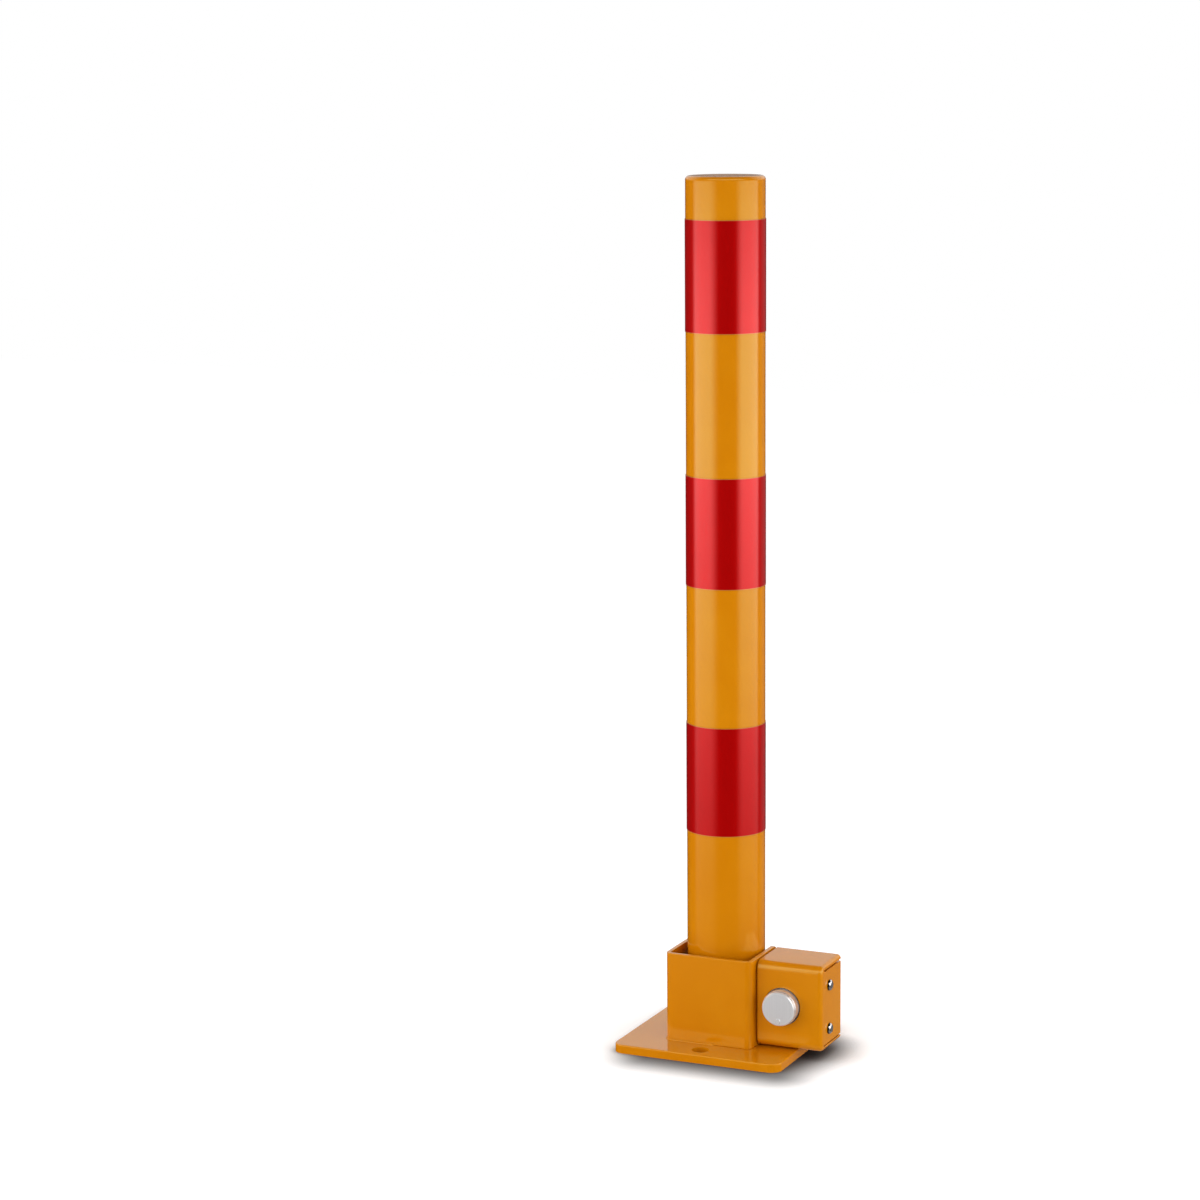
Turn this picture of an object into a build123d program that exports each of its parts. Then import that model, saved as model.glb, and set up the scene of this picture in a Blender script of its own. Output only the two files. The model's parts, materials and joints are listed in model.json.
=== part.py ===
from build123d import *

# Folding parking bollard, 600 mm tall, in millimetres.
# +Z is up, +X is to the right, and the lock faces -Y.
# The origin is on the post's axis, at the underside of the base plate.
# The post stands upright and the lock is popped out, so it is free to fold back towards +Y.

import os
from math import cos, pi, sin, sqrt

# Post
total_height = 600.0
post_diameter = 54.0
post_wall = 2.5
cap_plate = 3.4
cap_rim_radius = 2.8
cap_spigot_depth = 12.0
cap_spigot_wall = 3.0
cap_fit = 0.1

# Red reflective bands, as drops from the top of the post to the top of each band
band_drops = {"upper": 28.6, "middle": 201.3, "lower": 372.4}
band_height = 75.7
film_thickness = 0.25
film_fit = 0.1

# Base plate
plate_width = 123.0
plate_depth = 117.0
plate_thickness = 6.0
plate_corner_radius = 8.0
plate_edge_radius = 0.8
anchor_hole_diameter = 12.0
anchor_edge_distance = 11.5

# Hinge bracket, one sheet folded round the foot of the post
bracket_sheet = 3.0
bracket_above_pivot = 31.1
bracket_bend_radius = 5.0
bracket_side_gap = 2.0
bracket_front_gap = 4.0
bracket_rear_reach = 32.0
bracket_rear_cut = 20.0
bracket_rear_round = 6.0

# Pivot
pivot_height = 36.9
pivot_offset = 6.1
shaft_diameter = 12.0
shaft_head_diameter = 20.0
shaft_head_thickness = 5.0
shaft_head_round = 3.0
shaft_end_diameter = 8.0
shaft_end_flat = 3.2
shaft_end_spare = 2.0
head_washer_diameter = 24.0
head_washer_thickness = 2.0
bush_wall = 2.0
bush_flange_width = 3.0
bush_flange_thickness = 1.5
hinge_sleeve_wall = 3.0
drive_pin_diameter = 5.0

# Stops inside the bracket
sweep_clearance = 0.6
upright_stop_depth = 12.0
upright_stop_side_gap = 0.5
fold_rest_thickness = 6.0
fold_rest_setback = 1.5
fold_rest_height = 18.0

# Clearances
running_clearance = 0.05
press_clearance = 0.02
seat_clearance = 0.3
end_play = 0.1

# Lock cover, a folded tray
cover_gap = 1.3
cover_width = 47.0
cover_depth = 37.5
cover_height = 60.2
cover_front_setback = 8.8
cover_ground_gap = 1.0
cover_sheet = 3.0
cover_bend_radius = 5.5
cover_side_bend_radius = 2.8
cover_upper_slot = 1.5
cover_lower_slot = 1.0

# Cover screws
screw_diameter = 4.0
screw_head_diameter = 7.6
screw_head_height = 2.2
screw_head_round = 2.0
screw_from_front = 14.9
lower_screw_from_bottom = 13.7
screw_spacing = 30.8
screw_end_spare = 1.5
screw_hole_clearance = 0.25

# Lock case, welded to the bracket under the cover
case_sheet = 2.5
case_side_bend_radius = 1.0
window_from_screw = 7.5
window_margin = 3.0

# Locking disc on the shaft
disc_radius = 9.0
disc_thickness = 8.0
disc_bore_clearance = 0.05
disc_case_gap = 0.7
notch_floor_radius = 5.2
notch_clearance = 0.15
disc_washer_diameter = 16.0
disc_washer_thickness = 1.6
disc_nut_across_flats = 13.0
disc_nut_thickness = 6.5

# Push lock
lock_from_bracket = 19.5
barrel_diameter = 24.8
barrel_front_chamfer = 1.0
barrel_rear_chamfer = 0.5
barrel_hole_gap = 0.7
lock_proud = 7.8
press_travel = 5.5
guide_clearance = 0.1
guide_wall = 2.5
guide_floor = 2.0
bolt_diameter = 6.0
bolt_tip_chamfer = 0.8
bolt_tip_gap = 0.5
lug_length = 10.0
lug_width = 3.0
lug_thickness = 2.0
lug_gap = 0.3
plug_diameter = 11.0
plug_depth = 5.8
plug_recess = 0.2
plug_spigot_diameter = 4.0
plug_spigot_depth = 3.0
keyway_width = 1.4
keyway_height = 7.0
keyway_depth = 2.5
barrel_web = 1.5
spring_wire = 1.0
spring_turns = 5
spring_runs = 12
spring_sides = 8
spring_mean_diameter = 12.6
spring_pocket_gap = 0.4
guide_screw_diameter = 3.0
guide_screw_reach = 1.2
groove_depth = 1.5
groove_clearance = 0.1
groove_end_wall = 0.6

# Dust cover over the key slot
dust_cover_diameter = 23.5
dust_cover_thickness = 1.4
dust_cover_chamfer = 0.6
rivet_drop = 8.6
rivet_diameter = 2.5
rivet_head_diameter = 3.8
rivet_head_height = 0.5
rivet_depth = 4.0

# Places worked out from the sizes above
post_radius = post_diameter / 2
bracket_inner_half = post_radius + bracket_side_gap
bracket_outer_half = bracket_inner_half + bracket_sheet
bracket_inner_front = -post_radius - bracket_front_gap
bracket_front = bracket_inner_front - bracket_sheet
bracket_top = pivot_height + bracket_above_pivot
folded_axis_height = pivot_height + pivot_offset

# The foot of the tube swings past the bracket's front wall with the sweep clearance.
foot_reach = post_radius + pivot_offset
foot_drop = sqrt((foot_reach + bracket_front_gap - sweep_clearance) ** 2 - foot_reach ** 2)
tube_bottom = pivot_height - foot_drop
tube_top = total_height - cap_plate

hinge_sleeve_half = bracket_inner_half - bush_flange_thickness - seat_clearance
hinge_sleeve_radius = shaft_diameter / 2 + hinge_sleeve_wall
bush_radius = shaft_diameter / 2 + running_clearance + bush_wall

cover_left = bracket_outer_half + cover_gap
cover_right = cover_left + cover_width
cover_front = bracket_front + cover_front_setback
cover_back = cover_front + cover_depth
cover_bottom = plate_thickness + cover_ground_gap
cover_top = cover_bottom + cover_height

case_front = cover_front + cover_sheet + seat_clearance
case_back = pivot_offset + disc_radius + disc_case_gap + case_sheet
case_right = cover_right - cover_sheet - seat_clearance
case_bottom = cover_bottom + cover_sheet + seat_clearance
case_top = cover_top - cover_sheet - seat_clearance
case_bend_radius = cover_bend_radius - cover_sheet

screw_y = cover_front + screw_from_front
lower_screw_z = cover_bottom + lower_screw_from_bottom
screw_heights = {"lower": lower_screw_z, "upper": lower_screw_z + screw_spacing}

lock_x = bracket_outer_half + lock_from_bracket
lock_z = pivot_height
disc_left = lock_x - disc_thickness / 2
disc_right = lock_x + disc_thickness / 2

# The lock's lengths are counted forward from the rim of the locking disc.
disc_rim = pivot_offset - disc_radius
lug_rear = disc_rim - bolt_tip_gap - press_travel
lug_front = lug_rear - lug_thickness
guide_floor_front = lug_rear + lug_gap
guide_floor_rear = guide_floor_front + guide_floor
barrel_rear = guide_floor_front - press_travel - lug_gap
bolt_tip = pivot_offset - notch_floor_radius - bolt_tip_gap - press_travel
dust_cover_front = cover_front - lock_proud
dust_cover_rear = dust_cover_front + dust_cover_thickness
barrel_face = dust_cover_rear + end_play
plug_face = barrel_face + plug_recess
plug_rear = plug_face + plug_depth
plug_pocket_floor = plug_rear + end_play
spring_pocket_floor = plug_pocket_floor + barrel_web
barrel_radius = barrel_diameter / 2
guide_bore_radius = barrel_radius + guide_clearance
guide_radius = guide_bore_radius + guide_wall
spring_pocket_radius = (spring_mean_diameter + spring_wire) / 2 + spring_pocket_gap
groove_half = guide_screw_diameter / 2 + groove_clearance
guide_screw_y = barrel_rear - groove_end_wall - groove_half


# Cylinders and plates stand on their base.
base_align = (Align.CENTER, Align.CENTER, Align.MIN)


def block(x0, x1, y0, y1, z0, z1):
    """A box between two corners."""
    return Pos((x0 + x1) / 2, (y0 + y1) / 2, (z0 + z1) / 2) * Box(x1 - x0, y1 - y0, z1 - z0)


def rod_x(radius, x0, x1, y, z):
    """A cylinder along X."""
    return Location((x0, y, z), (0, 90, 0)) * Cylinder(radius, x1 - x0, align=base_align)


def rod_y(radius, y0, y1, x, z):
    """A cylinder along Y."""
    return Location((x, y0, z), (-90, 0, 0)) * Cylinder(radius, y1 - y0, align=base_align)


def rod_z(radius, z0, z1, x=0.0, y=0.0):
    """A cylinder along Z."""
    return Pos(x, y, z0) * Cylinder(radius, z1 - z0, align=base_align)


def make_base_plate():
    """A flat plate with rounded corners and an anchor hole at the front and at the back."""
    plate = Box(plate_width, plate_depth, plate_thickness, align=base_align)
    plate = fillet(plate.edges().filter_by(Axis.Z), plate_corner_radius)
    plate = fillet(plate.faces().sort_by(Axis.Z)[-1].edges(), plate_edge_radius)
    hole_y = plate_depth / 2 - anchor_edge_distance
    for y in (-hole_y, hole_y):
        plate -= rod_z(anchor_hole_diameter / 2, 0, plate_thickness, y=y)
    return plate


def make_hinge_bracket():
    """A sheet folded into a U: a front wall and two side walls that carry the pivot."""
    outer = block(-bracket_outer_half, bracket_outer_half, bracket_front, bracket_rear_reach,
                  plate_thickness, bracket_top)
    front_corners = outer.edges().filter_by(Axis.Z).sort_by(Axis.Y)[:2]
    outer = fillet(front_corners, bracket_bend_radius)
    inner = block(-bracket_inner_half, bracket_inner_half, bracket_inner_front,
                  bracket_rear_reach + bracket_sheet, plate_thickness, bracket_top)
    inner_corners = inner.edges().filter_by(Axis.Z).sort_by(Axis.Y)[:2]
    inner = fillet(inner_corners, bracket_bend_radius - bracket_sheet)
    bracket = outer - inner
    rear_corners = bracket.edges().filter_by(Axis.X).group_by(Axis.Z)[-1].group_by(Axis.Y)[-1]
    bracket = chamfer(rear_corners, bracket_rear_cut)
    cut_ends = bracket.edges().filter_by(Axis.X).filter_by_position(
        Axis.Y, 0, bracket_rear_reach).filter_by_position(
        Axis.Z, bracket_top - bracket_rear_cut, bracket_top)
    bracket = fillet(cut_ends, bracket_rear_round)
    bush_hole = rod_x(bush_radius + press_clearance, -bracket_outer_half, bracket_outer_half,
                      pivot_offset, pivot_height)
    return bracket - bush_hole


def make_upright_stop():
    """A bar under the front of the post's foot. The upright post leans on it."""
    half = bracket_inner_half - (bracket_bend_radius - bracket_sheet) - upright_stop_side_gap
    return block(-half, half, bracket_inner_front, bracket_inner_front + upright_stop_depth,
                 plate_thickness, tube_bottom - seat_clearance)


def make_fold_rest():
    """A bar across the back of the bracket, hollowed to take the folded post."""
    rear = bracket_rear_reach - fold_rest_setback
    front = rear - fold_rest_thickness
    bar = block(-bracket_inner_half, bracket_inner_half, front, rear,
                plate_thickness, plate_thickness + fold_rest_height)
    cradle = rod_y(post_radius + seat_clearance, front, rear, 0, folded_axis_height)
    return bar - cradle


def make_pivot_bush(side):
    """A flanged bush pressed into a side wall. The side is -1 for left and 1 for right."""
    inner_face = bracket_inner_half - bush_flange_thickness
    bush = rod_x(bush_radius, bracket_inner_half, bracket_outer_half, pivot_offset, pivot_height)
    bush += rod_x(bush_radius + bush_flange_width, inner_face, bracket_inner_half,
                  pivot_offset, pivot_height)
    bush -= rod_x(shaft_diameter / 2 + running_clearance, inner_face, bracket_outer_half,
                  pivot_offset, pivot_height)
    if side < 0:
        bush = mirror(bush, about=Plane.YZ)
    return bush


def make_head_washer():
    """A washer between the left wall and the shaft's head."""
    right = -bracket_outer_half
    left = right - head_washer_thickness
    washer = rod_x(head_washer_diameter / 2, left, right, pivot_offset, pivot_height)
    return washer - rod_x(shaft_diameter / 2 + running_clearance, left, right,
                          pivot_offset, pivot_height)


def make_pivot_shaft():
    """A headed shaft that turns with the post and carries the locking disc at its right end."""
    head_right = -bracket_outer_half - head_washer_thickness - end_play
    head = rod_x(shaft_head_diameter / 2, head_right - shaft_head_thickness, head_right,
                 pivot_offset, pivot_height)
    outer_rim = head.edges().filter_by(GeomType.CIRCLE).sort_by(Axis.X)[0]
    head = fillet(outer_rim, shaft_head_round)
    shaft = head + rod_x(shaft_diameter / 2, head_right, disc_left, pivot_offset, pivot_height)
    end = disc_right + disc_washer_thickness + disc_nut_thickness + shaft_end_spare
    shaft += shaft_end_profile(disc_left, end, 0)
    pin_hole = rod_z(drive_pin_diameter / 2 + press_clearance, pivot_height - shaft_diameter,
                     pivot_height + shaft_diameter, y=pivot_offset)
    return shaft - pin_hole


def shaft_end_profile(x0, x1, clearance):
    """The shaft's end: a rod with a flat on its rear side, grown by a clearance for the bore."""
    rod = rod_x(shaft_end_diameter / 2 + clearance, x0, x1, pivot_offset, pivot_height)
    flat = pivot_offset + shaft_end_flat + clearance
    return rod - block(x0, x1, flat, flat + shaft_end_diameter,
                       pivot_height - shaft_end_diameter, pivot_height + shaft_end_diameter)


def make_hinge_sleeve():
    """A tube welded across the post, which the shaft is pinned in."""
    sleeve = rod_x(hinge_sleeve_radius, -hinge_sleeve_half, hinge_sleeve_half,
                   pivot_offset, pivot_height)
    sleeve -= rod_x(shaft_diameter / 2 + press_clearance, -hinge_sleeve_half, hinge_sleeve_half,
                    pivot_offset, pivot_height)
    return sleeve - rod_z(drive_pin_diameter / 2 + press_clearance,
                          pivot_height - hinge_sleeve_radius,
                          pivot_height + hinge_sleeve_radius, y=pivot_offset)


def make_drive_pin():
    """A pin through the sleeve and the shaft, driven in from the post's open foot."""
    return rod_z(drive_pin_diameter / 2, pivot_height - hinge_sleeve_radius,
                 pivot_height + hinge_sleeve_radius, y=pivot_offset)


def make_post_tube():
    """The post's tube, open at the foot, with a hole through both sides for the sleeve."""
    tube = rod_z(post_radius, tube_bottom, tube_top)
    tube -= rod_z(post_radius - post_wall, tube_bottom, tube_top)
    return tube - rod_x(hinge_sleeve_radius + press_clearance, -post_radius, post_radius,
                        pivot_offset, pivot_height)


def make_post_cap():
    """A cap with a rounded rim and a spigot inside the tube."""
    cap = rod_z(post_radius, tube_top, total_height)
    top_rim = cap.edges().filter_by(GeomType.CIRCLE).sort_by(Axis.Z)[-1]
    cap = fillet(top_rim, cap_rim_radius)
    spigot_radius = post_radius - post_wall - cap_fit
    spigot = rod_z(spigot_radius, tube_top - cap_spigot_depth, tube_top)
    spigot -= rod_z(spigot_radius - cap_spigot_wall, tube_top - cap_spigot_depth, tube_top)
    return cap + spigot


def make_red_band(drop):
    """A ring of reflective film round the post."""
    top = total_height - drop
    inner = post_radius + film_fit
    ring = rod_z(inner + film_thickness, top - band_height, top)
    return ring - rod_z(inner, top - band_height, top)


def make_locking_disc():
    """A disc on the shaft's end, notched once for the upright post and once for the folded one."""
    disc = rod_x(disc_radius, disc_left, disc_right, pivot_offset, pivot_height)
    disc -= shaft_end_profile(disc_left, disc_right, disc_bore_clearance)
    half = bolt_diameter / 2 + notch_clearance
    upright_notch = block(disc_left, disc_right, disc_rim, pivot_offset - notch_floor_radius,
                          pivot_height - half, pivot_height + half)
    folded_notch = block(disc_left, disc_right, pivot_offset - half, pivot_offset + half,
                         pivot_height - disc_radius, pivot_height - notch_floor_radius)
    return disc - upright_notch - folded_notch


def make_disc_washer():
    """The washer under the disc's nut."""
    right = disc_right + disc_washer_thickness
    washer = rod_x(disc_washer_diameter / 2, disc_right, right, pivot_offset, pivot_height)
    return washer - rod_x(shaft_end_diameter / 2 + running_clearance, disc_right, right,
                          pivot_offset, pivot_height)


def make_disc_nut():
    """A hexagon nut that holds the disc on the shaft."""
    left = disc_right + disc_washer_thickness
    face = Plane((left, pivot_offset, pivot_height), x_dir=(0, 1, 0), z_dir=(1, 0, 0))
    hexagon = RegularPolygon(disc_nut_across_flats / 2, 6, major_radius=False)
    nut = extrude(face * hexagon, disc_nut_thickness)
    return nut - rod_x(shaft_end_diameter / 2 + running_clearance, left,
                       left + disc_nut_thickness, pivot_offset, pivot_height)


def make_lock_case():
    """A folded case welded to the bracket. It holds the lock's guide and the cover's screws."""
    left = bracket_outer_half
    outer = block(left, case_right, case_front, case_back, case_bottom, case_top)
    long_corners = outer.edges().filter_by(Axis.X).group_by(Axis.Y)[0]
    outer = fillet(long_corners, case_bend_radius)
    side_corner = outer.edges().filter_by(Axis.Z).sort_by(Axis.Y).group_by(Axis.X)[-1][0]
    outer = fillet(side_corner, case_side_bend_radius)
    case = outer - block(left, case_right - case_sheet, case_front + case_sheet,
                         case_back - case_sheet, case_bottom + case_sheet, case_top - case_sheet)
    edge = case_sheet + window_margin
    case -= block(case_right - case_sheet, case_right, screw_y + window_from_screw,
                  cover_back - seat_clearance, case_bottom + edge, case_top - edge)
    case -= rod_y(guide_radius + press_clearance, case_front, case_front + case_sheet,
                  lock_x, lock_z)
    for z in screw_heights.values():
        case -= rod_x(screw_diameter / 2 + running_clearance, case_right - case_sheet,
                      case_right, screw_y, z)
    return case


def make_lock_cover():
    """A folded tray over the case: front, top, bottom and right, open at the back and left."""
    outer = block(cover_left, cover_right, cover_front, cover_back, cover_bottom, cover_top)
    long_corners = outer.edges().filter_by(Axis.X).group_by(Axis.Y)[0]
    outer = fillet(long_corners, cover_bend_radius)
    side_corner = outer.edges().filter_by(Axis.Z).sort_by(Axis.Y).group_by(Axis.X)[-1][0]
    outer = fillet(side_corner, cover_side_bend_radius)
    inner = block(cover_left, cover_right - cover_sheet, cover_front + cover_sheet, cover_back,
                  cover_bottom + cover_sheet, cover_top - cover_sheet)
    inner_corners = inner.edges().filter_by(Axis.X).group_by(Axis.Y)[0]
    inner = fillet(inner_corners, cover_bend_radius - cover_sheet)
    cover = outer - inner
    slot_front = cover_front + cover_bend_radius
    upper_slot_top = cover_top - cover_sheet
    lower_slot_bottom = cover_bottom + cover_sheet
    cover -= block(cover_right - cover_sheet, cover_right, slot_front, cover_back,
                   upper_slot_top - cover_upper_slot, upper_slot_top)
    cover -= block(cover_right - cover_sheet, cover_right, slot_front, cover_back,
                   lower_slot_bottom, lower_slot_bottom + cover_lower_slot)
    cover -= rod_y(barrel_radius + barrel_hole_gap, cover_front, cover_front + cover_sheet,
                   lock_x, lock_z)
    for z in screw_heights.values():
        cover -= rod_x(screw_diameter / 2 + screw_hole_clearance, cover_right - cover_sheet,
                       cover_right, screw_y, z)
    return cover


def make_cover_screw(z):
    """A screw with a domed head, through the cover's side into the case."""
    head = rod_x(screw_head_diameter / 2, cover_right, cover_right + screw_head_height,
                 screw_y, z)
    outer_rim = head.edges().filter_by(GeomType.CIRCLE).sort_by(Axis.X)[-1]
    head = fillet(outer_rim, screw_head_round)
    tip = case_right - case_sheet - screw_end_spare
    return head + rod_x(screw_diameter / 2, tip, cover_right, screw_y, z)


def make_lock_guide():
    """A turned cup in the case's front. Its floor has a slot that the bolt's lug passes."""
    guide = rod_y(guide_radius, case_front, guide_floor_rear, lock_x, lock_z)
    guide -= rod_y(guide_bore_radius, case_front, guide_floor_front, lock_x, lock_z)
    guide -= rod_y(bolt_diameter / 2 + running_clearance, guide_floor_front, guide_floor_rear,
                   lock_x, lock_z)
    slot_x = lug_length / 2 + lug_gap
    slot_z = lug_width / 2 + lug_gap
    guide -= block(lock_x - slot_x, lock_x + slot_x, guide_floor_front, guide_floor_rear,
                   lock_z - slot_z, lock_z + slot_z)
    return guide - rod_z(guide_screw_diameter / 2 + press_clearance, lock_z - guide_radius,
                         lock_z - barrel_radius + guide_screw_reach, x=lock_x, y=guide_screw_y)


def make_guide_screw():
    """A headless screw through the guide. Its tip runs in the barrel's groove."""
    return rod_z(guide_screw_diameter / 2, lock_z - guide_radius,
                 lock_z - barrel_radius + guide_screw_reach, x=lock_x, y=guide_screw_y)


def make_lock_barrel():
    """The push lock's barrel, with the plug's pocket in front and the spring's behind."""
    barrel = rod_y(barrel_radius, barrel_face, barrel_rear, lock_x, lock_z)
    front_rim = barrel.edges().filter_by(GeomType.CIRCLE).sort_by(Axis.Y)[0]
    barrel = chamfer(front_rim, barrel_front_chamfer)
    rear_rim = barrel.edges().filter_by(GeomType.CIRCLE).sort_by(Axis.Y)[-1]
    barrel = chamfer(rear_rim, barrel_rear_chamfer)
    barrel -= rod_y(plug_diameter / 2 + running_clearance, barrel_face, plug_pocket_floor,
                    lock_x, lock_z)
    barrel -= rod_y(bolt_diameter / 2 + running_clearance, plug_pocket_floor,
                    spring_pocket_floor, lock_x, lock_z)
    barrel -= rod_y(spring_pocket_radius, spring_pocket_floor, barrel_rear, lock_x, lock_z)
    barrel -= rod_y(rivet_diameter / 2 + press_clearance, barrel_face,
                    barrel_face + rivet_depth, lock_x, lock_z - rivet_drop)
    groove_floor = lock_z - barrel_radius + groove_depth
    groove = block(lock_x - groove_half, lock_x + groove_half,
                   guide_screw_y - press_travel, guide_screw_y,
                   lock_z - barrel_radius, groove_floor)
    for y in (guide_screw_y - press_travel, guide_screw_y):
        groove += rod_z(groove_half, lock_z - barrel_radius, groove_floor, x=lock_x, y=y)
    return barrel - groove


def make_lock_plug():
    """The brass plug that the key turns."""
    plug = rod_y(plug_diameter / 2, plug_face, plug_rear, lock_x, lock_z)
    plug -= block(lock_x - keyway_width / 2, lock_x + keyway_width / 2,
                  plug_face, plug_face + keyway_depth,
                  lock_z - keyway_height / 2, lock_z + keyway_height / 2)
    return plug - rod_y(plug_spigot_diameter / 2 + press_clearance,
                        plug_rear - plug_spigot_depth, plug_rear, lock_x, lock_z)


def make_lock_bolt():
    """The bolt: a spigot in the plug, a shank, a lug that hooks behind the guide, and a nose."""
    shank = rod_y(bolt_diameter / 2, plug_rear, bolt_tip, lock_x, lock_z)
    tip = shank.edges().filter_by(GeomType.CIRCLE).sort_by(Axis.Y)[-1]
    shank = chamfer(tip, bolt_tip_chamfer)
    bolt = shank + rod_y(plug_spigot_diameter / 2, plug_rear - plug_spigot_depth, plug_rear,
                         lock_x, lock_z)
    lug = block(lock_x - lug_length / 2, lock_x + lug_length / 2, lug_front, lug_rear,
                lock_z - lug_width / 2, lock_z + lug_width / 2)
    return bolt + lug


def make_lock_spring():
    """The spring that pops the barrel out. Short straight runs keep its coil light."""
    length = guide_floor_front - spring_pocket_floor - spring_wire
    radius = spring_mean_diameter / 2
    steps = spring_turns * spring_runs
    points = []
    for step in range(steps + 1):
        angle = 2 * pi * step / spring_runs
        points.append((radius * cos(angle), radius * sin(angle), length * step / steps))
    coil = Polyline(points)
    wire = Plane(coil @ 0, x_dir=(0, 0, 1), z_dir=coil % 0)
    section = wire * RegularPolygon(spring_wire / 2, spring_sides)
    spring = sweep(section, path=coil, transition=Transition.RIGHT)
    return Location((lock_x, spring_pocket_floor + spring_wire / 2, lock_z), (-90, 0, 0)) * spring


def make_dust_cover():
    """A disc over the key slot, free to swing on its rivet."""
    disc = rod_y(dust_cover_diameter / 2, dust_cover_front, dust_cover_rear, lock_x, lock_z)
    front_rim = disc.edges().filter_by(GeomType.CIRCLE).sort_by(Axis.Y)[0]
    disc = chamfer(front_rim, dust_cover_chamfer)
    return disc - rod_y(rivet_diameter / 2 + running_clearance, dust_cover_front,
                        dust_cover_rear, lock_x, lock_z - rivet_drop)


def make_dust_cover_rivet():
    """The rivet that the dust cover swings on."""
    z = lock_z - rivet_drop
    head = rod_y(rivet_head_diameter / 2, dust_cover_front - rivet_head_height,
                 dust_cover_front, lock_x, z)
    rim = head.edges().filter_by(GeomType.CIRCLE).sort_by(Axis.Y)[0]
    head = chamfer(rim, rivet_head_height / 2)
    return head + rod_y(rivet_diameter / 2, dust_cover_front, barrel_face + rivet_depth,
                        lock_x, z)


pieces = {
    "base_plate": make_base_plate(),
    "hinge_bracket": make_hinge_bracket(),
    "upright_stop": make_upright_stop(),
    "fold_rest": make_fold_rest(),
    "pivot_bush_left": make_pivot_bush(-1),
    "pivot_bush_right": make_pivot_bush(1),
    "head_washer": make_head_washer(),
    "pivot_shaft": make_pivot_shaft(),
    "hinge_sleeve": make_hinge_sleeve(),
    "drive_pin": make_drive_pin(),
    "post_tube": make_post_tube(),
    "post_cap": make_post_cap(),
    "locking_disc": make_locking_disc(),
    "disc_washer": make_disc_washer(),
    "disc_nut": make_disc_nut(),
    "lock_case": make_lock_case(),
    "lock_cover": make_lock_cover(),
    "lock_guide": make_lock_guide(),
    "guide_screw": make_guide_screw(),
    "lock_barrel": make_lock_barrel(),
    "lock_plug": make_lock_plug(),
    "lock_bolt": make_lock_bolt(),
    "lock_spring": make_lock_spring(),
    "dust_cover": make_dust_cover(),
    "dust_cover_rivet": make_dust_cover_rivet(),
}
for name, drop in band_drops.items():
    pieces["red_band_" + name] = make_red_band(drop)
for name, height in screw_heights.items():
    pieces["cover_screw_" + name] = make_cover_screw(height)

os.makedirs("parts", exist_ok=True)
for name, solid in pieces.items():
    solid.label = name
    export_step(solid, os.path.join("parts", name + ".step"))
print(len(pieces), "pieces written")
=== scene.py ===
# %% [markdown]
# Folding parking bollard: the looks.
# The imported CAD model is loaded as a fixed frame, and every finish and every extra piece is set on it.
# Lengths are in metres. +Z is up, -Y is the side that the lock faces, and +X is the side of the lock box.

# %% Load the frame
import json
from math import cos, pi, radians, sin

import bmesh
import bpy
from mathutils import Matrix, Vector


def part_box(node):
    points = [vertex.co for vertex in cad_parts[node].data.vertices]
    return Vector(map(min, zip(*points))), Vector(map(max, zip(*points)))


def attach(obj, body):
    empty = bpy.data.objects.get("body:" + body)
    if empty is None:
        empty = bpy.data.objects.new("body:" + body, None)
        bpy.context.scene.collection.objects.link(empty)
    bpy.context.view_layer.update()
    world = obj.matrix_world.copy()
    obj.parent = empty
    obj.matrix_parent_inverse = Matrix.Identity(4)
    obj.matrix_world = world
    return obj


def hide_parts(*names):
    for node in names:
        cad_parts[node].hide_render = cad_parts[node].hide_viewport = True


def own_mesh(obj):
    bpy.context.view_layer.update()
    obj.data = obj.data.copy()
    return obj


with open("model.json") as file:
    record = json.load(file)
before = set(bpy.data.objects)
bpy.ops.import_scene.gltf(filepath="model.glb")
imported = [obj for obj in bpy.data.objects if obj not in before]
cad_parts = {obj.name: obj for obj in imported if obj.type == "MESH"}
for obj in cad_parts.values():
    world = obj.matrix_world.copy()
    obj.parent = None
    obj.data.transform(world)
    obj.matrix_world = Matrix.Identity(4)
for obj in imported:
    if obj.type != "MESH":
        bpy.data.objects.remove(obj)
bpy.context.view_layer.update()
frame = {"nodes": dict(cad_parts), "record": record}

nodes = frame["nodes"]
body_of_node = {node: body for body, members in frame["record"]["behaviour"]["bodies"].items()
                for node in members}

# %% [markdown]
# A material is a small graph of nodes, and most graphs here need the same few steps.
# The helpers below add a node, set its sockets by name and wire what is itself a socket.
# Writing a graph this way reads from top to bottom, like the recipe of the finish.

# %% Helpers for node graphs
def set_socket(tree, socket, value):
    """Wires a socket to another node's output, or gives it a number or a colour."""
    if isinstance(value, bpy.types.NodeSocket):
        tree.links.new(value, socket)
    else:
        socket.default_value = value


def add_node(tree, kind, operation=None, **sockets):
    """Adds a node and sets its sockets, by name or by number, as in i0 for the first."""
    node = tree.nodes.new(kind)
    if operation:
        node.operation = operation
    for name, value in sockets.items():
        numbered = name[0] == "i" and name[1:].isdigit()
        set_socket(tree, node.inputs[int(name[1:]) if numbered else name.replace("_", " ")], value)
    return node


def math(tree, operation, *values):
    """A Math node's result."""
    return add_node(tree, "ShaderNodeMath", operation,
                    **{f"i{i}": value for i, value in enumerate(values)}).outputs[0]


def blend_values(tree, amount, first, second):
    """A mix of two numbers."""
    return add_node(tree, "ShaderNodeMix", i0=amount, i2=first, i3=second).outputs[0]


def blend_colours(tree, amount, first, second):
    """A mix of two colours. A Mix node has its colour sockets at numbers 6 and 7."""
    mix = tree.nodes.new("ShaderNodeMix")
    mix.data_type = "RGBA"
    for number, value in ((0, amount), (6, first), (7, second)):
        set_socket(tree, mix.inputs[number], value)
    return mix.outputs[2]


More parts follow.
